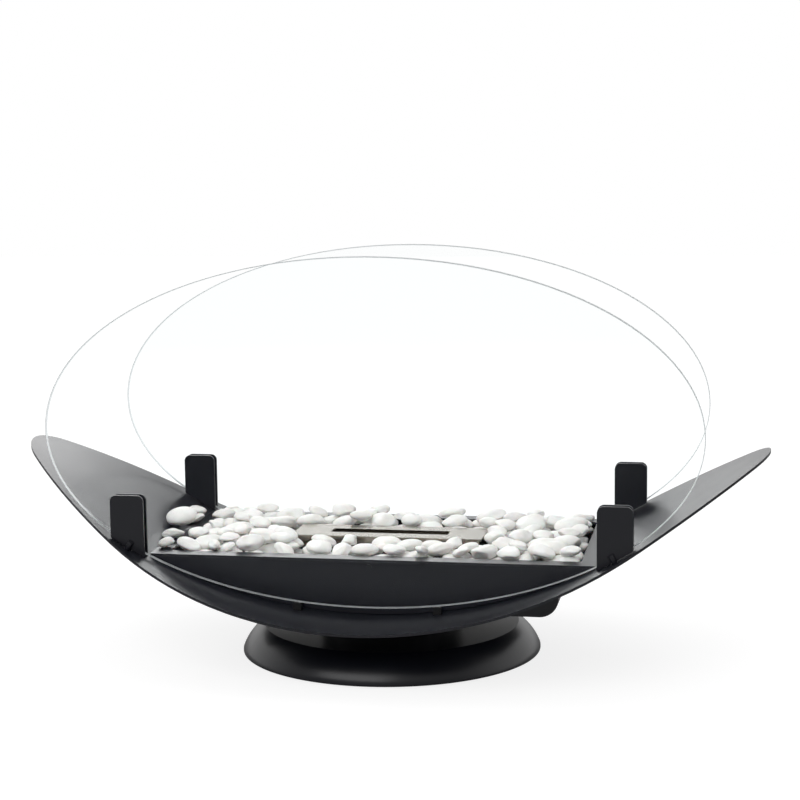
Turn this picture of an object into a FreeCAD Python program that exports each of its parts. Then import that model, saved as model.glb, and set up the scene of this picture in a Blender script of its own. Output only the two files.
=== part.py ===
import FreeCAD, Part
import math
import random

# Tabletop alcohol fireplace: a rolled oval steel tray on a domed foot, a trough with white pebbles and a
# slim stainless burner, and two oval glass panes that stand in four clips.
# Frame: millimetres, X along the tray, Y from front to back, Z up, origin on the table under the foot.

# Foot
foot_radius = 120.5
foot_top_radius = 103.0
foot_height = 22.5
foot_rim_height = 1.8
foot_bulge = 2.4
foot_wall = 1.5
foot_lip = 16.0
pad_count = 6
pad_radius = 5.0
pad_height = 0.8

# Neck and centre bolt
neck_height = 15.8
neck_radius = 57.0
neck_wall = 4.0
bolt_radius = 4.0
bolt_hole_radius = 4.3
bolt_head_radius = 7.0
bolt_head_height = 4.0
bolt_head_round = 1.6
bolt_tail = 2.0
key_flats = 5.0
key_depth = 2.4
nut_flats = 13.0
nut_height = 6.5
washer_radius = 12.0
washer_height = 1.6
sleeve_wall = 3.0

# Cradle under the tray
cradle_half_length = 139.5
cradle_half_depth = 40.0
cradle_depth = 8.5
cradle_corner = 15.0
cradle_wall = 2.0

# Tray: a rolled middle with straight wings, cut to a pointed oval
tray_half_length = 300.0
tray_half_width = 152.0
tray_radius = 385.0
tray_thickness = 2.0
wing_slope = 32.2
outline_side_radius = 600.0
outline_tip_radius = 58.0
outline_join = 100.0

# Trough and stone plate
trough_height = 43.0
trough_sheet = 1.5
rim_width_x = 13.0
rim_width_y = 14.0
rim_round = 3.0
wall_end_height = 1.2
rim_tab_width = 14.0
rim_tab_height = 9.0
rivet_radius = 1.6
rivet_head_radius = 2.4
rivet_head_height = 0.9
plate_drop = 12.5
plate_sheet = 1.5

# Burner
burner_half_length = 75.0
burner_half_depth = 20.0
burner_rise = 3.5
burner_sheet = 1.2
lid_overhang = 2.0
lid_sheet = 1.5
slot_half_length = 48.0
slot_half_width = 7.0
wool_height = 20.0

# Glass panes and their clips
glass_half_width = 252.0
glass_half_height = 133.0
glass_thickness = 5.0
glass_arris = 0.7
glass_tray_gap = 2.4
clip_place = 187.0
clip_width = 26.6
clip_height = 40.8
clip_sheet = 2.0
clip_web = 1.2
clip_round = 5.0
clip_wall_gap = 2.1
clip_pad = 0.8
clip_pad_margin = 2.5
pin_radius = 2.2
pin_rise = 6.5
pin_weld = 0.9
pin_edge_margin = 8.5
rest_place = 54.0
rest_length = 6.0
rest_depth = 6.0

# Pebbles
pebble_long_min = 7.5
pebble_long_max = 15.0
pebble_width_shares = (0.6, 0.88)
pebble_height_shares = (0.36, 0.5)
pebble_tilt = 20.0
pebble_heap = 13.0
pebble_heap_before = 8.0
pebble_gap = 0.2
pebble_room = 0.8
pebble_tries = 90
pebble_misses = 60
pebble_seed = 11
stray_count = 5
stray_reach_shares = (0.2, 1.4)
stray_step_shares = (0.5, 1.6)

# Clearances
seat_gap = 0.2
glass_side_gap = 0.2
glass_seat_gap = 0.2
slip_gap = 0.5
burner_seat_gap = 0.3
hole_gap = 0.2
overrun = 5.0

# Heights and places that follow from the sizes above
foot_low = pad_height
cradle_low = foot_height + neck_height
tray_under = cradle_low + cradle_depth
tray_low = tray_under + tray_thickness
tray_axis = tray_low + tray_radius
tray_under_radius = tray_radius + tray_thickness
wing_angle = math.radians(wing_slope)
wing_start = tray_radius * math.sin(wing_angle)
wing_start_height = tray_axis - tray_radius * math.cos(wing_angle)
rim_top = tray_low + trough_height
rim_under = rim_top - trough_sheet
plate_top = rim_top - plate_drop
plate_under = plate_top - plate_sheet
lid_top = rim_top + burner_rise
lid_under = lid_top - lid_sheet
clip_gap_half = glass_thickness / 2 + glass_side_gap + clip_pad
outline_lean_x = outline_join / outline_side_radius
outline_lean_y = math.sqrt(1 - outline_lean_x ** 2)
outline_side_y = tray_half_width - outline_side_radius
outline_tip_x = tray_half_length - outline_tip_radius
outline_spare = outline_side_radius - outline_tip_radius
outline_inset = (outline_spare ** 2 - outline_tip_x ** 2 - outline_side_y ** 2) / (
    2 * (outline_spare - outline_tip_x * outline_lean_x + outline_side_y * outline_lean_y))
ease_radius = outline_side_radius - outline_inset
ease_x = outline_inset * outline_lean_x
ease_y = outline_side_y + outline_inset * outline_lean_y
tray_edge_at_clip = ease_y + math.sqrt(ease_radius ** 2 - (clip_place - ease_x) ** 2)
pin_place = tray_edge_at_clip - pin_edge_margin - pin_radius
clip_face = pin_place - pin_radius + pin_weld
glass_place = clip_face - clip_sheet - clip_gap_half
trough_half_depth = glass_place - clip_gap_half - clip_sheet - clip_wall_gap


def vec(x, y, z):
    return FreeCAD.Vector(x, y, z)


def tray_height(x):
    """Height of the tray's upper surface at x."""
    reach = abs(x)
    if reach < wing_start:
        return tray_axis - math.sqrt(tray_radius ** 2 - reach ** 2)
    return wing_start_height + (reach - wing_start) * math.tan(wing_angle)


def tray_reach(height):
    """X at which the rolled middle of the tray reaches a height."""
    return math.sqrt(tray_radius ** 2 - (tray_axis - height) ** 2)


def glass_drop(x):
    """How far the lower edge of a pane lies under the pane's centre at x."""
    return glass_half_height * math.sqrt(max(0, 1 - (x / glass_half_width) ** 2))


glass_samples = 60
glass_centre = glass_tray_gap + max(
    tray_height(i * glass_half_width / glass_samples) + glass_drop(i * glass_half_width / glass_samples)
    for i in range(glass_samples))


def block(x0, x1, y0, y1, z0, z1):
    """Box between two corners."""
    return Part.makeBox(x1 - x0, y1 - y0, z1 - z0, vec(x0, y0, z0))


def rod(radius, z0, z1):
    """Upright cylinder on the object's axis."""
    return Part.makeCylinder(radius, z1 - z0, vec(0, 0, z0))


def ring(radius, bore, z0, z1):
    """Upright tube on the object's axis."""
    return rod(radius, z0, z1).cut(rod(bore, z0 - overrun, z1 + overrun))


def hexagon(flats, z0, z1):
    """Upright hexagonal prism on the object's axis, by its width across flats."""
    corner = flats / math.sqrt(3)
    points = [vec(corner * math.cos(math.radians(60 * i)), corner * math.sin(math.radians(60 * i)), z0)
              for i in range(7)]
    return Part.Face(Part.makePolygon(points)).extrude(vec(0, 0, z1 - z0))


def side_plate(points, y0, y1):
    """Plate with an outline of X and Z points, from y0 to y1."""
    wire = Part.makePolygon([vec(x, y0, z) for x, z in points + points[:1]])
    return Part.Face(wire).extrude(vec(0, y1 - y0, 0))


def lying_roll(radius, reach):
    """Cylinder along Y about the axis that the tray is rolled on."""
    return Part.makeCylinder(radius, 2 * reach, vec(0, -reach, tray_axis), vec(0, 1, 0))


def upright_edges(shape):
    """Straight edges of a shape that stand along Z."""
    return [e for e in shape.Edges if e.Curve.TypeId == "Part::GeomLine"
            and abs(e.tangentAt(e.FirstParameter).z) > math.cos(math.radians(1))]


def set_on_tray(shape, x, y):
    """Move a shape from the object's axis onto the tray's normal at x, with its z zero on the surface."""
    turn = FreeCAD.Rotation(vec(0, 1, 0), -math.degrees(math.asin(x / tray_radius)))
    moved = shape.copy()
    moved.Placement = FreeCAD.Placement(vec(x, y, tray_height(x)), turn).multiply(moved.Placement)
    return moved


def four_corners(shape):
    """A shape and its mirror images, named by place; the shape stands at the front right."""
    left = shape.mirror(vec(0, 0, 0), vec(1, 0, 0))
    return {"front_right": shape, "front_left": left,
            "rear_right": shape.mirror(vec(0, 0, 0), vec(0, 1, 0)),
            "rear_left": left.mirror(vec(0, 0, 0), vec(0, 1, 0))}


def group(solids):
    """Several separate solids as one node."""
    return Part.makeCompound(list(solids))


# Foot group

def make_foot_dome():
    """Spun shell with a flat top, a gently swelling flank and a lip turned in at the table."""
    rim_top_z = foot_low + foot_rim_height
    run = foot_radius - foot_top_radius
    rise = foot_height - rim_top_z
    flank = math.hypot(run, rise)
    out_r, out_z = rise / flank, run / flank
    inner_top = foot_top_radius - foot_wall * (1 - out_z) / out_r
    inner_low = foot_height - (foot_wall + (run - foot_wall) * out_r) / out_z

    def swell(a, b):
        middle = (a + b) / 2
        return Part.Arc(a, middle + vec(out_r, 0, out_z) * foot_bulge, b).toShape()

    outer_a, outer_b = vec(foot_top_radius, 0, foot_height), vec(foot_radius, 0, rim_top_z)
    inner_a = vec(inner_top, 0, foot_height - foot_wall)
    inner_b = vec(foot_radius - foot_wall, 0, inner_low)
    base = [vec(foot_radius, 0, foot_low), vec(foot_radius - foot_lip, 0, foot_low),
            vec(foot_radius - foot_lip, 0, foot_low + foot_wall),
            vec(foot_radius - foot_wall, 0, foot_low + foot_wall)]
    hole_top = vec(bolt_hole_radius, 0, foot_height)
    hole_low = vec(bolt_hole_radius, 0, foot_height - foot_wall)
    edges = [Part.makeLine(hole_top, outer_a), swell(outer_a, outer_b)]
    edges += Part.makePolygon([outer_b] + base + [inner_b]).Edges
    edges += [swell(inner_b, inner_a), Part.makeLine(inner_a, hole_low), Part.makeLine(hole_low, hole_top)]
    return Part.Face(Part.Wire(edges)).revolve(vec(0, 0, 0), vec(0, 0, 1), 360)


def make_foot_pads():
    """Rubber discs under the foot's lip."""
    place = foot_radius - foot_lip / 2
    pads = []
    for i in range(pad_count):
        angle = math.radians(360 * (i + 1 / 2) / pad_count)
        centre = vec(place * math.cos(angle), place * math.sin(angle), 0)
        pads.append(Part.makeCylinder(pad_radius, pad_height, centre))
    return group(pads)


def make_centre_bolt():
    """Button-head bolt that clamps tray, cradle, neck and foot."""
    head_low = tray_height(washer_radius) + washer_height
    head_top = head_low + bolt_head_height
    head = rod(bolt_head_radius, head_low, head_top)
    crown = [e for e in head.Edges if e.BoundBox.ZMin > head_top - bolt_head_round]
    head = head.makeFillet(bolt_head_round, crown)
    head = head.cut(hexagon(key_flats, head_top - key_depth, head_top + overrun))
    tip = foot_height - foot_wall - washer_height - nut_height - bolt_tail
    return head.fuse(rod(bolt_radius, tip, head_low)).removeSplitter()


def make_centre_nut():
    """Hexagon nut under the foot's top."""
    top = foot_height - foot_wall - washer_height
    return hexagon(nut_flats, top - nut_height, top).cut(
        rod(bolt_radius + hole_gap / 2, top - nut_height - overrun, top + overrun))


def make_centre_washers():
    """Washer under the bolt's head and washer above the nut."""
    upper = tray_height(washer_radius)
    lower = foot_height - foot_wall - washer_height
    return group(ring(washer_radius, bolt_hole_radius, z, z + washer_height) for z in (upper, lower))


def make_cradle():
    """Folded tub with rounded lower ends; its upper edges follow the tray's underside."""
    def tub(inset):
        body = block(inset - cradle_half_length, cradle_half_length - inset, inset - cradle_half_depth,
                     cradle_half_depth - inset, cradle_low + inset, tray_height(cradle_half_length))
        ends = [e for e in body.Edges if e.BoundBox.ZMax < cradle_low + inset + cradle_wall
                and e.BoundBox.XLength < cradle_wall]
        return body.makeFillet(cradle_corner - inset, ends)

    under = lying_roll(tray_under_radius + seat_gap, cradle_half_depth + overrun)
    hole = rod(bolt_hole_radius, cradle_low - overrun, tray_low)
    return tub(0).cut(tub(cradle_wall)).cut(under).cut(hole)


# Tray

def make_outline():
    """Pointed oval in plan: a side arc, an arc that eases it down and a tip arc, four times."""
    span = math.hypot(outline_tip_x - ease_x, ease_y)
    end_x, end_y = (outline_tip_x - ease_x) / span, -ease_y / span
    join = vec(outline_join, outline_side_y + outline_side_radius * outline_lean_y, 0)
    touch = vec(outline_tip_x + outline_tip_radius * end_x, outline_tip_radius * end_y, 0)
    middle_x, middle_y = outline_lean_x + end_x, outline_lean_y + end_y
    reach = ease_radius / math.hypot(middle_x, middle_y)
    on_ease = vec(ease_x + middle_x * reach, ease_y + middle_y * reach, 0)

    def flip(point, x, y):
        return vec(point.x * x, point.y * y, 0)

    edges = []
    for sx, sy in ((1, 1), (1, -1), (-1, -1), (-1, 1)):
        edges.append(Part.Arc(flip(join, sx, sy), flip(on_ease, sx, sy), flip(touch, sx, sy)).toShape())
    for s in (1, -1):
        tip, side = vec(s * tray_half_length, 0, 0), vec(0, s * tray_half_width, 0)
        edges.append(Part.Arc(flip(touch, s, 1), tip, flip(touch, s, -1)).toShape())
        edges.append(Part.Arc(flip(join, 1, s), side, flip(join, -1, s)).toShape())
    return Part.Wire(Part.__sortEdges__(edges))


def make_tray():
    """Sheet with a rolled middle and straight wings, cut to the outline, with holes for bolt and pins."""
    wing = (tray_half_length + overrun - wing_start) / math.cos(wing_angle)
    along = vec(math.cos(wing_angle), 0, math.sin(wing_angle))
    axis = vec(0, 0, tray_axis)

    def curve(radius):
        end = axis + vec(radius * math.sin(wing_angle), 0, -radius * math.cos(wing_angle))
        tip = end + along * wing
        other_end, other_tip = vec(-end.x, 0, end.z), vec(-tip.x, 0, tip.z)
        return other_tip, other_end, axis - vec(0, 0, radius), end, tip

    upper, lower = curve(tray_radius), curve(tray_under_radius)
    edges = []
    for far, start, low, end, tip in (upper, lower):
        edges += [Part.makeLine(far, start), Part.Arc(start, low, end).toShape(), Part.makeLine(end, tip)]
    edges += [Part.makeLine(upper[0], lower[0]), Part.makeLine(upper[-1], lower[-1])]
    side = Part.Face(Part.Wire(Part.__sortEdges__(edges)))
    reach = tray_half_width + overrun
    side.translate(vec(0, -reach, 0))
    sheet = side.extrude(vec(0, 2 * reach, 0))
    prism = Part.Face(make_outline()).extrude(vec(0, 0, tray_height(tray_half_length) + overrun))
    sheet = sheet.common(prism).cut(rod(bolt_hole_radius, tray_under - overrun, tray_low + overrun))
    hole = rod(pin_radius + hole_gap, -tray_thickness - overrun, overrun)
    for drill in four_corners(set_on_tray(hole, clip_place, -pin_place)).values():
        sheet = sheet.cut(drill)
    return sheet


# Trough

rim_half_length = tray_reach(rim_under - seat_gap)
rim_open_x = rim_half_length - rim_width_x
rim_open_y = trough_half_depth - rim_width_y
wall_half_length = tray_reach(rim_under - wall_end_height)
inside_y = trough_half_depth - trough_sheet
rivet_height = rim_under - rim_tab_height / 2


def make_trough_walls():
    """Front and rear wall: straight on top, cut to the roll of the tray below."""
    wall = block(-wall_half_length, wall_half_length, -trough_half_depth, -inside_y, tray_low, rim_under)
    wall = wall.common(lying_roll(tray_radius - seat_gap, trough_half_depth + overrun))
    wall = wall.cut(Part.makeCylinder(rivet_radius + hole_gap / 2, trough_sheet + 2 * overrun,
                                      vec(0, -trough_half_depth - overrun, rivet_height), vec(0, 1, 0)))
    return wall, wall.mirror(vec(0, 0, 0), vec(0, 1, 0))


def make_trough_rim():
    """Flat frame round the trough's mouth, with a tab behind each wall."""
    def slab(x, y, low, high):
        plain = block(-x, x, -y, y, low, high)
        return plain.makeFillet(rim_round, upright_edges(plain))

    mouth = slab(rim_open_x, rim_open_y, rim_under - overrun, rim_top + overrun)
    frame = slab(rim_half_length, trough_half_depth, rim_under, rim_top).cut(mouth)
    tab_y = inside_y - seat_gap
    tab = block(-rim_tab_width / 2, rim_tab_width / 2, -tab_y, trough_sheet - tab_y,
                rim_under - rim_tab_height, rim_under)
    tab = tab.cut(Part.makeCylinder(rivet_radius + hole_gap / 2, 2 * trough_sheet + overrun,
                                    vec(0, -trough_half_depth, rivet_height), vec(0, 1, 0)))
    return frame.fuse([tab, tab.mirror(vec(0, 0, 0), vec(0, 1, 0))]).removeSplitter()


def make_rim_rivets():
    """One rivet through each wall and the tab behind it."""
    shank_end = trough_sheet - inside_y
    shank = Part.makeCylinder(rivet_radius, trough_half_depth + shank_end,
                              vec(0, -trough_half_depth, rivet_height), vec(0, 1, 0))
    head = Part.makeCylinder(rivet_head_radius, rivet_head_height,
                             vec(0, -trough_half_depth - rivet_head_height, rivet_height), vec(0, 1, 0))
    rivet = shank.fuse(head).removeSplitter()
    return group([rivet, rivet.mirror(vec(0, 0, 0), vec(0, 1, 0))])


def make_stone_plate():
    """Flat plate in the trough that carries the pebbles, with an opening for the burner."""
    reach = tray_reach(plate_under - seat_gap)
    depth = inside_y - slip_gap
    opening_x, opening_y = burner_half_length + slip_gap, burner_half_depth + slip_gap
    plate = block(-reach, reach, -depth, depth, plate_under, plate_top)
    return plate.cut(block(-opening_x, opening_x, -opening_y, opening_y,
                           plate_under - overrun, plate_top + overrun))


# Burner

burner_low = tray_height(burner_half_length) + burner_seat_gap


def make_burner_tank():
    """Open box that holds the fuel; its lower ends stand on the roll of the tray."""
    def box(inset, low, high):
        x, y = burner_half_length - inset, burner_half_depth - inset
        return block(-x, x, -y, y, low, high)

    inside = box(burner_sheet, burner_low + burner_sheet, lid_under + overrun)
    return box(0, burner_low, lid_under).cut(inside)


def make_burner_lid():
    """Top plate with the burning slot."""
    x, y = burner_half_length + lid_overhang, burner_half_depth + lid_overhang
    plate = block(-x, x, -y, y, lid_under, lid_top)
    plate = plate.makeFillet(lid_overhang, upright_edges(plate))
    slot = block(-slot_half_length, slot_half_length, -slot_half_width, slot_half_width,
                 lid_under - overrun, lid_top + overrun)
    return plate.cut(slot.makeFillet(lid_overhang, upright_edges(slot)))


def make_burner_wool():
    """Ceramic fibre block on the tank's floor that soaks up the fuel."""
    inset = burner_sheet + seat_gap
    x, y, low = burner_half_length - inset, burner_half_depth - inset, burner_low + burner_sheet
    return block(-x, x, -y, y, low, low + wool_height)


# Glass and clips

def make_glass():
    """Oval pane with dulled edges, at the front."""
    oval = Part.Ellipse(vec(0, 0, 0), glass_half_width, glass_half_height).toShape()
    pane = Part.Face(Part.Wire([oval])).extrude(vec(0, 0, glass_thickness))
    pane = pane.makeChamfer(glass_arris, [e for e in pane.Edges if e.Length > glass_half_width])
    pane.Placement = FreeCAD.Placement(vec(0, glass_thickness / 2 - glass_place, glass_centre),
                                       FreeCAD.Rotation(vec(1, 0, 0), 90))
    return pane


clip_left, clip_right = clip_place - clip_width / 2, clip_place + clip_width / 2
glass_slope = (glass_half_height / glass_half_width) ** 2 * clip_place / glass_drop(clip_place)
glass_edge = glass_centre - glass_drop(clip_place)
slope_length = math.hypot(1, glass_slope)
web_top = glass_edge - glass_seat_gap * slope_length
web_under = web_top - clip_web * slope_length
clip_top = web_under + clip_height


def on_slope(height, x):
    """Height at x of a line through height at the clip's middle, along the pane's edge there."""
    return height + (x - clip_place) * glass_slope


def make_clip():
    """Two plates joined by a sloping web, with a pin on the outer plate that stands in the tray."""
    low = [(x, on_slope(web_under, x)) for x in (clip_left, clip_right)]
    high = [(x, on_slope(web_top, x)) for x in (clip_right, clip_left)]

    def plate(y):
        sheet = side_plate(low + [(clip_right, clip_top), (clip_left, clip_top)], y, y + clip_sheet)
        crown = [e for e in sheet.Edges if e.BoundBox.ZMin > clip_top - clip_round
                 and e.BoundBox.XLength < clip_round and e.BoundBox.YLength > clip_sheet / 2]
        return sheet.makeFillet(clip_round, crown)

    front = plate(-glass_place - clip_gap_half - clip_sheet)
    back = plate(-glass_place + clip_gap_half)
    web = side_plate(low + high, -glass_place - clip_gap_half, -glass_place + clip_gap_half)
    bracket = front.fuse([back, web]).common(lying_roll(tray_radius - seat_gap, pin_place + overrun))
    pin = set_on_tray(rod(pin_radius, -tray_thickness, pin_rise), clip_place, -pin_place)
    return bracket.fuse(pin).removeSplitter()


def make_clip_pads():
    """Silicone strips on the inner faces of the clips' plates."""
    left, right = clip_left + clip_pad_margin, clip_right - clip_pad_margin
    low = web_top + clip_pad_margin
    corners = [(left, on_slope(low, left)), (right, on_slope(low, right)),
               (right, clip_top - clip_round), (left, clip_top - clip_round)]
    outer = side_plate(corners, -glass_place - clip_gap_half, clip_pad - glass_place - clip_gap_half)
    inner = side_plate(corners, clip_gap_half - clip_pad - glass_place, clip_gap_half - glass_place)
    return group(list(four_corners(outer).values()) + list(four_corners(inner).values()))


def make_glass_rests():
    """Silicone blocks on the tray, two under each pane."""
    inner = rest_place - rest_length / 2
    top = glass_centre - glass_drop(inner) - glass_seat_gap
    rest = block(inner, inner + rest_length, -glass_place - rest_depth / 2, rest_depth / 2 - glass_place,
                 tray_low, top)
    rest = rest.common(lying_roll(tray_radius - seat_gap, glass_place + rest_depth))
    return group(four_corners(rest).values())


# Pebbles: each is an ellipsoid dropped into the trough until it rests on the plate, the tray or others.

class Pebble:
    """An ellipsoid with half axes, a turn and a place."""

    def __init__(self, dice):
        long_half = dice.uniform(pebble_long_min, pebble_long_max)
        self.halves = (long_half, long_half * dice.uniform(*pebble_width_shares),
                       long_half * dice.uniform(*pebble_height_shares))
        heading = dice.uniform(0, 360)
        lean = FreeCAD.Rotation(vec(math.cos(heading), math.sin(heading), 0), dice.uniform(0, pebble_tilt))
        self.turn = lean.multiply(FreeCAD.Rotation(vec(0, 0, 1), heading))
        axes = [self.turn.multVec(vec(*(int(i == k) for i in range(3)))) for k in range(3)]
        swelled = [(half + pebble_gap / 2) ** 2 for half in self.halves]
        self.spread = [sum(s * a[i] * a[j] for s, a in zip(swelled, axes))
                       for i, j in ((0, 0), (1, 1), (2, 2), (0, 1), (0, 2), (1, 2))]
        self.reach_x, self.reach_y, self.reach_z = (math.sqrt(self.spread[i]) for i in range(3))
        self.x = self.y = self.z = 0

    def solid(self):
        """The pebble's ellipsoid at its place."""
        matrix = FreeCAD.Matrix()
        matrix.scale(*self.halves)
        shape = Part.makeSphere(1).transformGeometry(matrix)
        shape.Placement = FreeCAD.Placement(vec(self.x, self.y, self.z), self.turn)
        return shape


contact_steps = 14


def contact_height(low, high):
    """How far the centre of one pebble lies above another's when it rests on it, or None if they miss."""
    dx, dy = high.x - low.x, high.y - low.y
    best = None
    for step in range(1, contact_steps):
        mix = step / contact_steps
        xx, yy, zz, xy, xz, yz = ((1 - mix) * a + mix * b for a, b in zip(low.spread, high.spread))
        ixx, iyy, izz = yy * zz - yz * yz, xx * zz - xz * xz, xx * yy - xy * xy
        ixy, ixz, iyz = xz * yz - xy * zz, xy * yz - xz * yy, xy * xz - xx * yz
        limit = (xx * ixx + xy * ixy + xz * ixz) / (mix * (1 - mix))
        half = ixz * dx + iyz * dy
        root = half ** 2 - izz * (ixx * dx * dx + 2 * ixy * dx * dy + iyy * dy * dy - limit)
        if root < 0:
            return None
        height = (math.sqrt(root) - half) / izz
        best = height if best is None else min(best, height)
    return best


def floor_height(pebble):
    """Lowest centre height of a pebble over the plate, the rim and the tray."""
    lean = math.asin(min(1, abs(pebble.x) / tray_radius))
    xx, zz, xz = pebble.spread[0], pebble.spread[2], pebble.spread[4]
    side = math.copysign(math.sin(lean), -pebble.x)
    reach = math.sqrt(xx * side ** 2 + 2 * xz * side * math.cos(lean) + zz * math.cos(lean) ** 2)
    on_tray = tray_height(pebble.x) + reach / math.cos(lean) + pebble.reach_x ** 2 / (2 * tray_radius)
    inside = abs(pebble.x) + pebble.reach_x < rim_open_x
    return max(on_tray, (plate_top if inside else rim_top) + pebble.reach_z)


def drop(pebble, others):
    """Set a pebble's height to where it comes to rest."""
    near = [o for o in others if abs(o.x - pebble.x) < o.reach_x + pebble.reach_x
            and abs(o.y - pebble.y) < o.reach_y + pebble.reach_y]
    heights = [(o.z, contact_height(o, pebble)) for o in near]
    pebble.z = max([floor_height(pebble)] + [z + h for z, h in heights if h is not None])


def clear_of_burner(pebble):
    """Whether a pebble stays beside the burner, so that the burner lifts out past it."""
    room_x = burner_half_length + lid_overhang + pebble_room + pebble.reach_x
    room_y = burner_half_depth + lid_overhang + pebble_room + pebble.reach_y
    return abs(pebble.x) > room_x or abs(pebble.y) > room_y


def heap_top(pebble):
    """Height up to which pebbles are heaped at a pebble's place; before the burner they leave its lid in view."""
    before = pebble.y < 0 and abs(pebble.x) < burner_half_length + lid_overhang
    return rim_top + (pebble_heap_before if before else pebble_heap)


def lay_pebbles():
    """Fill the trough from the lowest places up, then lay a few pebbles over the left end of the rim."""
    dice = random.Random(pebble_seed)
    laid = []
    misses = 0
    while misses < pebble_misses:
        pebble = Pebble(dice)
        span_x = rim_open_x - pebble_room - pebble.reach_x
        span_y = rim_open_y - pebble_room - pebble.reach_y
        places = []
        for _ in range(pebble_tries):
            pebble.x, pebble.y = dice.uniform(-span_x, span_x), dice.uniform(-span_y, span_y)
            if clear_of_burner(pebble):
                drop(pebble, laid)
                if pebble.z + pebble.reach_z < heap_top(pebble):
                    places.append((pebble.z, pebble.x, pebble.y))
        if places:
            pebble.z, pebble.x, pebble.y = min(places)
            laid.append(pebble)
        else:
            misses += 1
    for i in range(stray_count):
        pebble = Pebble(dice)
        pebble.x = -rim_open_x - rim_width_x * dice.uniform(*stray_reach_shares)
        pebble.y = rim_open_y * ((2 * i + dice.uniform(*stray_step_shares)) / stray_count - 1)
        drop(pebble, laid)
        laid.append(pebble)
    return laid


def make_pebbles():
    """The pebbles as four groups round the burner."""
    names = ("pebbles_left", "pebbles_right", "pebbles_front", "pebbles_rear")
    heaps = {name: [] for name in names}
    for pebble in lay_pebbles():
        if abs(pebble.x) > burner_half_length + lid_overhang:
            name = names[0] if pebble.x < 0 else names[1]
        else:
            name = names[2] if pebble.y < 0 else names[3]
        heaps[name].append(pebble.solid())
    return {name: group(solids) for name, solids in heaps.items()}


front_wall, rear_wall = make_trough_walls()
front_glass = make_glass()
nodes = {
    "foot_dome": make_foot_dome(),
    "foot_pads": make_foot_pads(),
    "neck": ring(neck_radius, neck_radius - neck_wall, foot_height, cradle_low),
    "cradle": make_cradle(),
    "clamp_sleeve": ring(bolt_hole_radius + sleeve_wall, bolt_hole_radius, cradle_low + cradle_wall,
                         tray_under - seat_gap / 2),
    "centre_bolt": make_centre_bolt(),
    "centre_nut": make_centre_nut(),
    "centre_washers": make_centre_washers(),
    "tray": make_tray(),
    "trough_front_wall": front_wall,
    "trough_rear_wall": rear_wall,
    "trough_rim": make_trough_rim(),
    "rim_rivets": make_rim_rivets(),
    "stone_plate": make_stone_plate(),
    "burner_tank": make_burner_tank(),
    "burner_lid": make_burner_lid(),
    "burner_wool": make_burner_wool(),
    "front_glass": front_glass,
    "rear_glass": front_glass.mirror(vec(0, 0, 0), vec(0, 1, 0)),
    "clip_pads": make_clip_pads(),
    "glass_rests": make_glass_rests(),
}
nodes.update({"clip_" + place: clip for place, clip in four_corners(make_clip()).items()})
nodes.update(make_pebbles())

for name, shape in nodes.items():
    if not shape.isValid():
        raise ValueError(name + " is not a valid solid")
    shape.exportStep("parts/" + name + ".step")
    print(name, len(shape.Solids), "solids, volume", round(shape.Volume))
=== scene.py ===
import logging
import math
import random
from dataclasses import dataclass, field
from enum import Enum

import bmesh
import bpy
import numpy as np
from mathutils import Matrix, Vector, noise


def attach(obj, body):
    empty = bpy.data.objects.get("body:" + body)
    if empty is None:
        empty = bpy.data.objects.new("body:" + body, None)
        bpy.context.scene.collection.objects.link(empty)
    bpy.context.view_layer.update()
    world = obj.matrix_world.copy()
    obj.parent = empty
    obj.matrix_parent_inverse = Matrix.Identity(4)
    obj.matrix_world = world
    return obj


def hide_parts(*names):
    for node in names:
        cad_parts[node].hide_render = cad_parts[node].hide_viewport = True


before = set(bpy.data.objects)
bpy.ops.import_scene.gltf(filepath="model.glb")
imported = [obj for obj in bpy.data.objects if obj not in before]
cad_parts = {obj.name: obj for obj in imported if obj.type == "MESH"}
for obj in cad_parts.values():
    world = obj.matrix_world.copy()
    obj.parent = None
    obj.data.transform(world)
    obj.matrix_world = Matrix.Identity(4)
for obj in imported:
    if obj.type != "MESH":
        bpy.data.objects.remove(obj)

logging.basicConfig(level=logging.INFO, format="%(message)s")
log = logging.getLogger("fireplace")

MM = 0.001
# Sheet edges: points this close are one, and corners sharper than this are eased in so many steps.
WELD_MM = 0.001
EASE_DEGREES = 40
EASE_SEGMENTS = 2
Socket = bpy.types.NodeSocket


class Side(Enum):
    """Side of the burner that a group of pebbles lies on."""

    FRONT = "front"
    REAR = "rear"
    LEFT = "left"
    RIGHT = "right"


def srgb(code: str) -> tuple[float, float, float, float]:
    """Turn an sRGB hex colour into linear RGBA.

    Args:
        code: Colour such as "#1c1c1f".

    Returns:
        Linear red, green, blue and an alpha of one.
    """
    values = [int(code[i:i + 2], 16) / 255 for i in (1, 3, 5)]
    linear = [v / 12.92 if v <= 0.04045 else ((v + 0.055) / 1.055) ** 2.4 for v in values]
    return linear[0], linear[1], linear[2], 1.0


def add(tree: bpy.types.NodeTree, kind: str, inputs: dict | None = None,
        **settings: object) -> bpy.types.Node:
    """Add a shader node with its settings, values and links.

    Args:
        tree: Node tree to add to.
        kind: Node type without its "ShaderNode" prefix.
        inputs: Socket name or number to a value or to the socket that feeds it.
        settings: Node properties to set.

    Returns:
        The new node.
    """
    node = tree.nodes.new("ShaderNode" + kind)
    for key, value in settings.items():
        setattr(node, key, value)
    for key, value in (inputs or {}).items():
        if isinstance(value, Socket):
            tree.links.new(value, node.inputs[key])
        else:
            node.inputs[key].default_value = value
    return node


def new_material(name: str) -> tuple[bpy.types.Material, bpy.types.NodeTree]:
    """Make an empty node material.

    Args:
        name: Name of the real material.

    Returns:
        The material and its cleared node tree.
    """
    material = bpy.data.materials.new(name)
    material.use_nodes = True
    material.node_tree.nodes.clear()
    return material, material.node_tree


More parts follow.
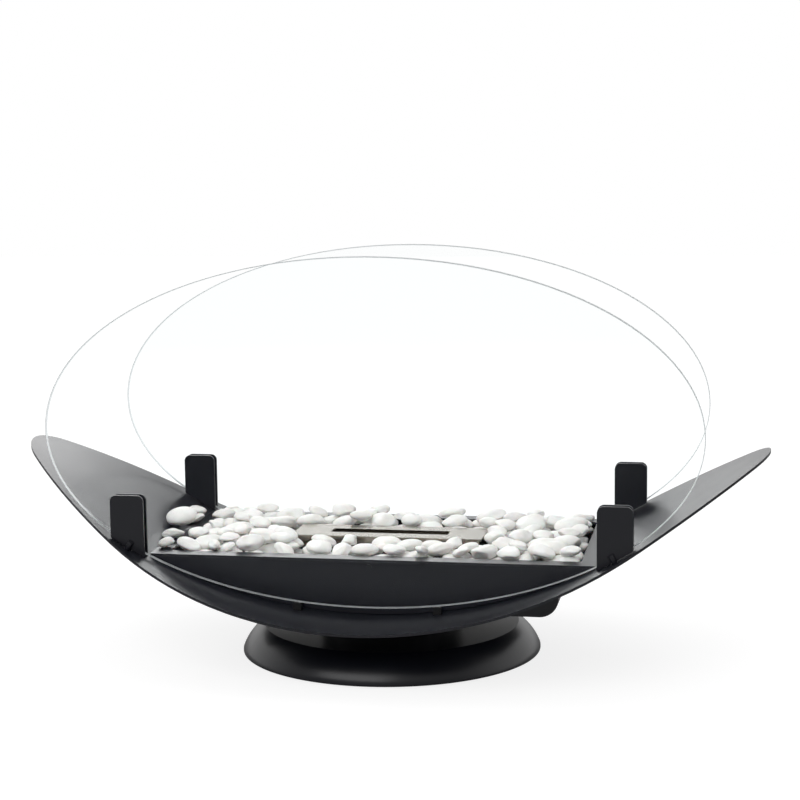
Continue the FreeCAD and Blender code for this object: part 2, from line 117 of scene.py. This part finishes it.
@dataclass(frozen=True)
class PowderCoat:
    """Powder coat on sheet steel, sprayed and baked."""

    name: str
    colour: str
    light_colour: str
    roughness: float
    ior: float = 1.5
    # The waves that the powder leaves as it melts, the orange peel, at about their real size.
    peel_mm: float = 2.4
    peel_height_mm: float = 0.1
    peel_strength: float = 0.1
    peel_detail: float = 3.0
    # Slow changes in the thickness of the coat, which make its gloss cloudy.
    cloud_mm: float = 60.0
    cloud_detail: float = 4.0
    smoother: float = 0.04
    rougher: float = 0.05

    def make(self) -> bpy.types.Material:
        """Build the material.

        Returns:
            A dark satin coat with orange peel and faint clouds of gloss.
        """
        material, tree = new_material(self.name)
        place = add(tree, "TexCoord").outputs["Object"]
        peel = add(tree, "TexNoise", {
            "Vector": place, "Scale": 1 / (self.peel_mm * MM), "Detail": self.peel_detail})
        cloud = add(tree, "TexNoise", {
            "Vector": place, "Scale": 1 / (self.cloud_mm * MM), "Detail": self.cloud_detail})
        colour = add(tree, "MixRGB", {
            "Fac": cloud.outputs["Fac"],
            "Color1": srgb(self.colour), "Color2": srgb(self.light_colour)})
        rough = add(tree, "MapRange", {
            "Value": cloud.outputs["Fac"],
            "To Min": self.roughness - self.smoother, "To Max": self.roughness + self.rougher})
        bump = add(tree, "Bump", {
            "Height": peel.outputs["Fac"],
            "Strength": self.peel_strength, "Distance": self.peel_height_mm * MM})
        coat = add(tree, "BsdfPrincipled", {
            "Base Color": colour.outputs["Color"], "IOR": self.ior,
            "Roughness": rough.outputs["Result"], "Normal": bump.outputs["Normal"]})
        add(tree, "OutputMaterial", {"Surface": coat.outputs["BSDF"]})
        return material


@dataclass(frozen=True)
class BrushedSteel:
    """Bare steel with brush lines along X, or plated steel where the lines aren't stretched."""

    name: str
    colour: str
    roughness: float
    # Real brush lines and plating grains are about 0.1 mm wide, too fine to show, so both are
    # drawn coarser.
    brush_mm: float = 0.5
    stretch: float = 60.0
    brush_height_mm: float = 0.05
    brush_strength: float = 0.15
    brush_detail: float = 2.0
    smoother: float = 0.08
    rougher: float = 0.1

    def make(self) -> bpy.types.Material:
        """Build the material.

        Returns:
            Metal whose roughness and height follow the lines or grains.
        """
        material, tree = new_material(self.name)
        place = add(tree, "TexCoord").outputs["Object"]
        lines = add(tree, "Mapping", {"Vector": place, "Scale": (1 / self.stretch, 1.0, 1.0)})
        brush = add(tree, "TexNoise", {
            "Vector": lines.outputs["Vector"],
            "Scale": 1 / (self.brush_mm * MM), "Detail": self.brush_detail})
        rough = add(tree, "MapRange", {
            "Value": brush.outputs["Fac"],
            "To Min": self.roughness - self.smoother, "To Max": self.roughness + self.rougher})
        bump = add(tree, "Bump", {
            "Height": brush.outputs["Fac"],
            "Strength": self.brush_strength, "Distance": self.brush_height_mm * MM})
        steel = add(tree, "BsdfPrincipled", {
            "Base Color": srgb(self.colour), "Metallic": 1.0,
            "Roughness": rough.outputs["Result"], "Normal": bump.outputs["Normal"]})
        add(tree, "OutputMaterial", {"Surface": steel.outputs["BSDF"]})
        return material


@dataclass(frozen=True)
class ClearGlass:
    """Clear toughened glass in panes across Y, with polished faces and a ground, bevelled edge."""

    name: str
    tint: str
    bevel_colour: str
    edge_colour: str
    mirror: str
    ior: float = 1.52
    # How squarely a surface looks along Y: above the first pair it is face, above the second
    # bevel, and below both edge.
    face_limits: tuple[float, float] = (0.85, 0.95)
    bevel_limits: tuple[float, float] = (0.3, 0.5)
    # The wheel's grit leaves marks of about 0.1 mm, too fine to show, so they are drawn coarser.
    grind_mm: float = 0.6
    grind_height_mm: float = 0.1
    grind_strength: float = 0.3
    ground_roughness: float = 0.4
    # Share of the light from inside the pane that the ground edge lets out.
    glow_share: float = 0.75

    def make(self) -> bpy.types.Material:
        """Build the material.

        Returns:
            Clear faces, with a grey bevel and a white edge where the surface turns away from them.
        """
        material, tree = new_material(self.name)
        facing = add(tree, "SeparateXYZ", {"Vector": add(tree, "NewGeometry").outputs["Normal"]})
        flat = add(tree, "Math", {0: facing.outputs["Y"]}, operation="ABSOLUTE").outputs["Value"]
        on_face = add(tree, "MapRange", {
            "Value": flat, "From Min": self.face_limits[0], "From Max": self.face_limits[1]})
        on_bevel = add(tree, "MapRange", {
            "Value": flat, "From Min": self.bevel_limits[0], "From Max": self.bevel_limits[1]})
        grind = add(tree, "TexNoise", {
            "Vector": add(tree, "TexCoord").outputs["Object"], "Scale": 1 / (self.grind_mm * MM)})
        bump = add(tree, "Bump", {
            "Height": grind.outputs["Fac"],
            "Strength": self.grind_strength, "Distance": self.grind_height_mm * MM})
        edge = add(tree, "MixRGB", {
            "Fac": on_bevel.outputs["Result"],
            "Color1": srgb(self.edge_colour), "Color2": srgb(self.bevel_colour)})
        clear = add(tree, "BsdfPrincipled", {
            "Base Color": srgb(self.tint), "IOR": self.ior, "Roughness": 0.0,
            "Transmission Weight": 1.0, "Specular Tint": srgb(self.mirror)})
        skin = add(tree, "BsdfPrincipled", {
            "Base Color": edge.outputs["Color"], "IOR": self.ior,
            "Roughness": self.ground_roughness, "Normal": bump.outputs["Normal"]})
        lit = add(tree, "BsdfTranslucent", {
            "Color": edge.outputs["Color"], "Normal": bump.outputs["Normal"]})
        ground = add(tree, "MixShader", {
            0: self.glow_share, 1: skin.outputs["BSDF"], 2: lit.outputs["BSDF"]})
        pane = add(tree, "MixShader", {
            0: on_face.outputs["Result"], 1: ground.outputs["Shader"], 2: clear.outputs["BSDF"]})
        passing = add(tree, "BsdfTransparent", {"Color": srgb(self.tint)})
        shade = add(tree, "MixShader", {
            0: add(tree, "LightPath").outputs["Is Shadow Ray"],
            1: pane.outputs["Shader"], 2: passing.outputs["BSDF"]})
        add(tree, "OutputMaterial", {"Surface": shade.outputs["Shader"]})
        return material


@dataclass(frozen=True)
class TumbledMarble:
    """White marble, tumbled with grit until it is round."""

    name: str
    colour: str
    vein_colour: str
    roughness: float = 0.5
    ior: float = 1.5
    # Faint grey clouds, about as wide as a stone.
    cloud_mm: float = 16.0
    cloud_detail: float = 6.0
    cloud_twist: float = 0.8
    vein_limits: tuple[float, float] = (0.3, 0.55)
    # Real crystals are about 0.5 mm wide, too fine to show, so they are drawn coarser.
    grain_mm: float = 1.2
    grain_height_mm: float = 0.3
    grain_strength: float = 0.12
    grain_detail: float = 4.0
    # How much light goes under the surface, and how far.
    glow_share: float = 0.15
    glow_mm: float = 2.0

    def make(self) -> bpy.types.Material:
        """Build the material.

        Returns:
            White stone with faint grey clouds, a fine grain and a little light under the surface.
        """
        material, tree = new_material(self.name)
        place = add(tree, "TexCoord").outputs["Object"]
        cloud = add(tree, "TexNoise", {
            "Vector": place, "Scale": 1 / (self.cloud_mm * MM),
            "Detail": self.cloud_detail, "Distortion": self.cloud_twist})
        veins = add(tree, "ValToRGB", {"Fac": cloud.outputs["Fac"]})
        for step, limit, code in zip(veins.color_ramp.elements, self.vein_limits,
                                     (self.vein_colour, self.colour)):
            step.position = limit
            step.color = srgb(code)
        grain = add(tree, "TexNoise", {
            "Vector": place, "Scale": 1 / (self.grain_mm * MM), "Detail": self.grain_detail})
        bump = add(tree, "Bump", {
            "Height": grain.outputs["Fac"],
            "Strength": self.grain_strength, "Distance": self.grain_height_mm * MM})
        stone = add(tree, "BsdfPrincipled", {
            "Base Color": veins.outputs["Color"], "Roughness": self.roughness, "IOR": self.ior,
            "Subsurface Weight": self.glow_share, "Subsurface Scale": self.glow_mm * MM,
            "Normal": bump.outputs["Normal"]})
        add(tree, "OutputMaterial", {"Surface": stone.outputs["BSDF"]})
        return material


@dataclass(frozen=True)
class SoftFinish:
    """Rubber, silicone or fibre: a matt finish with a fine grain."""

    name: str
    colour: str
    roughness: float
    # The grain of each is under 0.2 mm wide, too fine to show, so it is drawn coarser.
    grain_mm: float
    depth_mm: float
    ior: float = 1.45
    grain_strength: float = 0.4
    grain_detail: float = 5.0
    shade_limits: tuple[float, float] = (0.85, 1.15)

    def make(self) -> bpy.types.Material:
        """Build the material.

        Returns:
            A matt material that is a little darker and lighter along its grain.
        """
        material, tree = new_material(self.name)
        place = add(tree, "TexCoord").outputs["Object"]
        grain = add(tree, "TexNoise", {
            "Vector": place, "Scale": 1 / (self.grain_mm * MM), "Detail": self.grain_detail})
        value = add(tree, "MapRange", {
            "Value": grain.outputs["Fac"],
            "To Min": self.shade_limits[0], "To Max": self.shade_limits[1]})
        shade = add(tree, "HueSaturation", {
            "Color": srgb(self.colour), "Value": value.outputs["Result"]})
        bump = add(tree, "Bump", {
            "Height": grain.outputs["Fac"],
            "Strength": self.grain_strength, "Distance": self.depth_mm * MM})
        soft = add(tree, "BsdfPrincipled", {
            "Base Color": shade.outputs["Color"], "Roughness": self.roughness, "IOR": self.ior,
            "Normal": bump.outputs["Normal"]})
        add(tree, "OutputMaterial", {"Surface": soft.outputs["BSDF"]})
        return material


@dataclass
class Finishes:
    """Every material of the object, made once."""

    paint: bpy.types.Material = field(init=False)
    stainless: bpy.types.Material = field(init=False)
    zinc: bpy.types.Material = field(init=False)
    glass: bpy.types.Material = field(init=False)
    marble: bpy.types.Material = field(init=False)
    rubber: bpy.types.Material = field(init=False)
    silicone: bpy.types.Material = field(init=False)
    fibre: bpy.types.Material = field(init=False)

    def __post_init__(self) -> None:
        """Make the materials."""
        # Black powder coat, sprayed and baked: nearly black with a blue cast and a satin sheen.
        self.paint = PowderCoat("powder_coat_black", "#0f1018", "#14161e", 0.3).make()
        # Stainless sheet, brushed lengthwise: warm grey, with soft streaks of what stands round it.
        self.stainless = BrushedSteel("stainless_steel", "#9a958c", 0.16).make()
        # Bolt, nut and washers, zinc-plated in a drum: pale, dull metal with no direction.
        self.zinc = BrushedSteel("zinc_plated_steel", "#b9babd", 0.38, stretch=1.0).make()
        # Toughened float glass, ground along its edge: hardly seen but for a thin bright outline.
        self.glass = ClearGlass(
            "toughened_glass", tint="#fdfefe", bevel_colour="#ebeff0", edge_colour="#f7f9fa",
            mirror="#383838").make()
        # White marble, tumbled: chalky white with faint grey clouds and soft, rubbed edges.
        self.marble = TumbledMarble("white_marble", "#f8f7f4", "#ebe9e5").make()
        # Black rubber, moulded: matt, with hardly any highlight.
        self.rubber = SoftFinish("black_rubber", "#1a1a1a", 0.8, 0.8, 0.1, 1.52).make()
        # Black silicone, extruded: as dark, with a dull sheen.
        self.silicone = SoftFinish("black_silicone", "#161617", 0.5, 1.0, 0.05, 1.41).make()
        # Ceramic fibre, pressed to a block: off-white and woolly.
        self.fibre = SoftFinish("ceramic_fibre", "#e6e3dc", 0.95, 1.5, 0.8).make()


def dress(node: str, material: bpy.types.Material, ease_mm: float = 0.0) -> None:
    """Give a node of the frame its material and eased edges.

    Args:
        node: Name of the CAD node.
        material: Material to show.
        ease_mm: Width of the eased edge, or zero for none.
    """
    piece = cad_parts[node]
    piece.data.materials.clear()
    piece.data.materials.append(material)
    if ease_mm:
        weld = piece.modifiers.new("weld", "WELD")
        weld.merge_threshold = WELD_MM * MM
        ease = piece.modifiers.new("ease", "BEVEL")
        ease.width = ease_mm * MM
        ease.segments = EASE_SEGMENTS
        ease.limit_method = "ANGLE"
        ease.angle_limit = math.radians(EASE_DEGREES)
        ease.harden_normals = True
    log.info("dressed %s with %s", node, material.name)


@dataclass
class Foot:
    """Domed foot, its rubber discs, the neck and the bolt that clamps the stack."""

    ease_mm: float = 0.5

    def dress(self, finishes: Finishes) -> None:
        """Give the foot's nodes their finishes.

        Args:
            finishes: Materials of the object.
        """
        dress("foot_dome", finishes.paint, self.ease_mm)
        dress("neck", finishes.paint, self.ease_mm)
        dress("foot_pads", finishes.rubber, self.ease_mm)
        for node in ("clamp_sleeve", "centre_bolt", "centre_nut", "centre_washers"):
            dress(node, finishes.zinc)


@dataclass
class Tray:
    """Rolled tray and the cradle under it."""

    ease_mm: float = 0.5

    def dress(self, finishes: Finishes) -> None:
        """Give the tray's nodes their finishes.

        Args:
            finishes: Materials of the object.
        """
        dress("tray", finishes.paint)
        dress("cradle", finishes.paint, self.ease_mm)


@dataclass
class Trough:
    """Walls, rim and stone plate that hold the pebbles, with the rim's rivets."""

    ease_mm: float = 0.4

    def dress(self, finishes: Finishes) -> None:
        """Give the trough's nodes their finishes.

        Args:
            finishes: Materials of the object.
        """
        for node in ("trough_front_wall", "trough_rear_wall", "trough_rim"):
            dress(node, finishes.paint, self.ease_mm)
        dress("stone_plate", finishes.paint)
        dress("rim_rivets", finishes.paint, self.ease_mm)


@dataclass
class Burner:
    """Stainless tank and lid with a fibre block inside."""

    ease_mm: float = 0.4

    def dress(self, finishes: Finishes) -> None:
        """Give the burner's nodes their finishes.

        Args:
            finishes: Materials of the object.
        """
        dress("burner_tank", finishes.stainless, self.ease_mm)
        dress("burner_lid", finishes.stainless, self.ease_mm)
        dress("burner_wool", finishes.fibre)


@dataclass
class Panes:
    """The two oval panes with their clips, the pads in the clips and the rests under the glass."""

    ease_mm: float = 0.9

    def dress(self, finishes: Finishes) -> None:
        """Give the panes and what holds them their finishes.

        Args:
            finishes: Materials of the object.
        """
        for node in ("front_glass", "rear_glass"):
            dress(node, finishes.glass)
        for node in ("clip_front_left", "clip_front_right", "clip_rear_left", "clip_rear_right"):
            dress(node, finishes.paint, self.ease_mm)
        dress("clip_pads", finishes.silicone)
        dress("glass_rests", finishes.silicone)


@dataclass
class PebbleBed:
    """Tumbled stones on one side of the burner, one for each ellipsoid of a pebble node."""

    side: Side
    seed: int
    body: str = "base"
    slot: str = "white_stone"
    fineness: int = 4
    weld_mm: float = 0.01
    # Lumps: their heights as shares of the stone, and how many fit in it.
    lump_shares: tuple[float, float, float] = (0.12, 0.05, 0.015)
    lump_scales: tuple[float, float, float] = (1.0, 2.4, 6.0)
    lump_shift: float = 9.0
    # Below one, the ellipsoid swells towards its corners.
    squareness: float = 0.8
    # Flats that were rubbed off: their number, heights as shares of the stone, and spread of
    # directions along its axes. The higher the wear, the sharper their borders.
    flat_count: int = 9
    flat_shares: tuple[float, float] = (0.66, 0.96)
    flat_spread: tuple[float, float, float] = (1.0, 1.0, 0.7)
    wear: float = 16.0
    # The stone is enlarged to make up for its flats, up to a limit past the ellipsoid.
    growth: float = 1.14
    limit: float = 1.05

    @property
    def node(self) -> str:
        """Name of the CAD node with this side's pebbles."""
        return "pebbles_" + self.side.value

    def ellipsoids(self) -> list[tuple[np.ndarray, np.ndarray, np.ndarray]]:
        """Read the places of the node's ellipsoids from its mesh.

        Returns:
            Centre, axes as columns and half lengths of each, in metres.
        """
        shape = bmesh.new()
        shape.from_mesh(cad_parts[self.node].data)
        bmesh.ops.remove_doubles(shape, verts=shape.verts, dist=self.weld_mm * MM)
        found, seen = [], set()
        for start in shape.verts:
            if start.index in seen:
                continue
            seen.add(start.index)
            island, queue = [], [start]
            while queue:
                vertex = queue.pop()
                island.append(vertex.co[:])
                for edge in vertex.link_edges:
                    other = edge.other_vert(vertex)
                    if other.index not in seen:
                        seen.add(other.index)
                        queue.append(other)
            points = np.array(island)
            centre = (points.min(0) + points.max(0)) / 2
            axes = np.linalg.eigh(np.cov((points - centre).T))[1]
            halves = np.abs((points - centre) @ axes).max(0)
            found.append((centre, axes, halves))
        shape.free()
        return found

    def stone(self, dice: random.Random) -> tuple[np.ndarray, list[tuple[int, ...]]]:
        """Shape one stone about the unit sphere.

        Args:
            dice: Source of the stone's lumps and flats.

        Returns:
            Points and faces of the stone.
        """
        ball = bmesh.new()
        bmesh.ops.create_icosphere(ball, subdivisions=self.fineness, radius=1)
        ball.verts.index_update()
        shift = Vector([dice.uniform(-self.lump_shift, self.lump_shift) for _ in range(3)])
        flats = [(Vector([dice.gauss(0, spread) for spread in self.flat_spread]).normalized(),
                  dice.uniform(*self.flat_shares)) for _ in range(self.flat_count)]
        points = []
        for vertex in ball.verts:
            way = vertex.co.normalized()
            reach = sum(abs(c) ** (2 / self.squareness) for c in way) ** (-self.squareness / 2)
            worn = sum((max(0, way.dot(turn)) * reach / height) ** self.wear
                       for turn, height in flats)
            reach /= (1 + worn) ** (1 / self.wear)
            lumps = sum(share * noise.noise(way * scale + shift)
                        for share, scale in zip(self.lump_shares, self.lump_scales))
            points.append(way * min(self.limit, self.growth * reach * (1 + lumps)))
        faces = [tuple(v.index for v in f.verts) for f in ball.faces]
        ball.free()
        return np.array(points), faces

    def build(self, finishes: Finishes) -> bpy.types.Object:
        """Build the stones as one piece that stands for the node.

        Args:
            finishes: Materials of the object.

        Returns:
            The new piece.
        """
        dice = random.Random(self.seed)
        points, faces = [], []
        for centre, axes, halves in self.ellipsoids():
            unit, rings = self.stone(dice)
            first = len(points)
            points.extend(centre + (unit * halves) @ axes.T)
            faces.extend(tuple(first + i for i in ring) for ring in rings)
        mesh = bpy.data.meshes.new(self.node + "_stones")
        mesh.from_pydata([tuple(p) for p in points], [], faces)
        mesh.shade_smooth()
        mesh.materials.append(finishes.marble)
        piece = bpy.data.objects.new(self.node + "_stones", mesh)
        bpy.context.scene.collection.objects.link(piece)
        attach(piece, self.body)
        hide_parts(self.node)
        log.info("built %s with %d faces", piece.name, len(faces))
        return piece


@dataclass
class Studio:
    """Camera, white floor and surroundings, and two softboxes, in front above and behind."""

    camera_place_mm: tuple[float, float, float] = (274.8, -1420.4, 391.4)
    yaw_degrees: float = 10.611
    pitch_degrees: float = 7.461
    roll_degrees: float = -0.648
    lens_mm: float = 82.04
    sensor_mm: float = 36.0
    sight_mm: tuple[float, float] = (50.0, 50000.0)
    floor_mm: float = 12000.0
    floor_colour: str = "#949494"
    floor_glow: float = 0.81
    # Share of the white surroundings that mirrored rays see.
    mirror_share: float = 0.2
    lamp_mm: tuple[float, float] = (1600.0, 1000.0)
    lamp_place_mm: tuple[float, float, float] = (-500.0, -1300.0, 1300.0)
    lamp_watts: float = 12.0
    back_mm: tuple[float, float] = (800.0, 500.0)
    back_place_mm: tuple[float, float, float] = (-620.0, 1900.0, 1030.0)
    back_watts: float = 5.0
    # Light of the surroundings by direction, and where along Y and Z it goes from one to another.
    sky_colour: str = "#ffffff"
    front_level: float = 0.25
    back_level: float = 1.0
    above_level: float = 0.5
    back_limits: tuple[float, float] = (-0.5, 0.3)
    above_limits: tuple[float, float] = (0.1, 0.6)

    def camera(self) -> None:
        """Set the camera where the picture was taken from."""
        yaw, pitch, roll = (
            math.radians(a) for a in (self.yaw_degrees, self.pitch_degrees, self.roll_degrees))
        ahead = Vector((-math.sin(yaw) * math.cos(pitch), math.cos(yaw) * math.cos(pitch),
                        -math.sin(pitch)))
        right = Vector((math.cos(yaw), math.sin(yaw), 0))
        up = right.cross(ahead)
        turned_right = right * math.cos(roll) + up * math.sin(roll)
        turned_up = up * math.cos(roll) - right * math.sin(roll)
        data = bpy.data.cameras.new("camera")
        data.lens, data.sensor_width = self.lens_mm, self.sensor_mm
        data.clip_start, data.clip_end = (reach * MM for reach in self.sight_mm)
        camera = bpy.data.objects.new("camera", data)
        camera.matrix_world = Matrix.LocRotScale(
            Vector(self.camera_place_mm) * MM,
            Matrix((turned_right, turned_up, -ahead)).transposed(), None)
        bpy.context.scene.collection.objects.link(camera)
        bpy.context.scene.camera = camera

    def seen(self, tree: bpy.types.NodeTree) -> Socket:
        """Tell the eye's own rays, straight or through the panes, from light that has bounced.

        Args:
            tree: Node tree to add to.

        Returns:
            Socket that is one for the eye's own rays, a share of it for mirrored ones and zero
            for others.
        """
        rays = add(tree, "LightPath")
        bounces = add(tree, "Math", {
            0: rays.outputs["Diffuse Depth"], 1: rays.outputs["Glossy Depth"]}, operation="ADD")
        # Depths are whole numbers, so less than a half means no bounce at all.
        direct = add(tree, "Math", {0: bounces.outputs["Value"], 1: 0.5}, operation="LESS_THAN")
        through = add(tree, "Math", {
            0: rays.outputs["Is Transmission Ray"], 1: direct.outputs["Value"]},
            operation="MULTIPLY")
        eye = add(tree, "Math", {
            0: rays.outputs["Is Camera Ray"], 1: through.outputs["Value"]}, operation="MAXIMUM")
        mirrored = add(tree, "Math", {
            0: rays.outputs["Is Glossy Ray"], 1: self.mirror_share}, operation="MULTIPLY")
        either = add(tree, "Math", {
            0: eye.outputs["Value"], 1: mirrored.outputs["Value"]}, operation="MAXIMUM")
        return either.outputs["Value"]

    def floor(self) -> None:
        """Lay a white floor that keeps a faint shadow."""
        half = self.floor_mm * MM / 2
        mesh = bpy.data.meshes.new("floor")
        mesh.from_pydata([(-half, -half, 0), (half, -half, 0), (half, half, 0), (-half, half, 0)],
                         [], [(0, 1, 2, 3)])
        # Painted studio floor: matt grey, with a glow for the eye alone that lifts it to white.
        material, tree = new_material("white_floor")
        level = add(tree, "Math", {0: self.seen(tree), 1: self.floor_glow}, operation="MULTIPLY")
        glow = add(tree, "Emission", {"Strength": level.outputs["Value"]})
        matt = add(tree, "BsdfDiffuse", {"Color": srgb(self.floor_colour)})
        both = add(tree, "AddShader", {0: glow.outputs["Emission"], 1: matt.outputs["BSDF"]})
        add(tree, "OutputMaterial", {"Surface": both.outputs["Shader"]})
        mesh.materials.append(material)
        piece = bpy.data.objects.new("floor", mesh)
        bpy.context.scene.collection.objects.link(piece)

    def surroundings(self) -> None:
        """Make all round white to the eye; its light is full from behind and weaker elsewhere."""
        world = bpy.data.worlds.new("studio")
        world.use_nodes = True
        tree = world.node_tree
        tree.nodes.clear()
        way = add(tree, "SeparateXYZ", {"Vector": add(tree, "TexCoord").outputs["Generated"]})
        behind = add(tree, "MapRange", {
            "Value": way.outputs["Y"],
            "From Min": self.back_limits[0], "From Max": self.back_limits[1],
            "To Min": self.front_level, "To Max": self.back_level})
        above = add(tree, "MapRange", {
            "Value": way.outputs["Z"],
            "From Min": self.above_limits[0], "From Max": self.above_limits[1],
            "To Min": self.front_level, "To Max": self.above_level})
        level = add(tree, "Math", {
            0: behind.outputs["Result"], 1: above.outputs["Result"]}, operation="MAXIMUM")
        strength = add(tree, "Math", {
            0: level.outputs["Value"], 1: self.seen(tree)}, operation="MAXIMUM")
        sky = add(tree, "Background", {
            "Color": srgb(self.sky_colour), "Strength": strength.outputs["Value"]})
        add(tree, "OutputWorld", {"Surface": sky.outputs["Background"]})
        bpy.context.scene.world = world

    def lamp(self, name: str, size_mm: tuple[float, float],
             place_mm: tuple[float, float, float], watts: float) -> None:
        """Hang a soft lamp that faces the object.

        Args:
            name: Name of the lamp.
            size_mm: Width and height of its face.
            place_mm: Middle of its face.
            watts: Power.
        """
        data = bpy.data.lights.new(name, "AREA")
        data.shape = "RECTANGLE"
        data.size, data.size_y = (side * MM for side in size_mm)
        data.energy = watts
        lamp = bpy.data.objects.new(name, data)
        place = Vector(place_mm) * MM
        lamp.matrix_world = Matrix.LocRotScale(place, (-place).to_track_quat("-Z", "Y"), None)
        lamp.visible_camera = False
        bpy.context.scene.collection.objects.link(lamp)

    def build(self) -> None:
        """Set up camera, floor, surroundings and lamps."""
        self.camera()
        self.floor()
        self.surroundings()
        self.lamp("softbox_above", self.lamp_mm, self.lamp_place_mm, self.lamp_watts)
        self.lamp("softbox_behind", self.back_mm, self.back_place_mm, self.back_watts)
        bpy.context.scene.view_settings.view_transform = "Standard"
        log.info("studio ready")


def main() -> None:
    """Dress the object, build its stones and set up the studio."""
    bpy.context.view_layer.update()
    finishes = Finishes()
    for group in (Foot(), Tray(), Trough(), Burner(), Panes()):
        group.dress(finishes)
    for seed, side in enumerate(Side):
        PebbleBed(side, seed).build(finishes)
    Studio().build()


if __name__ == "__main__":
    main()
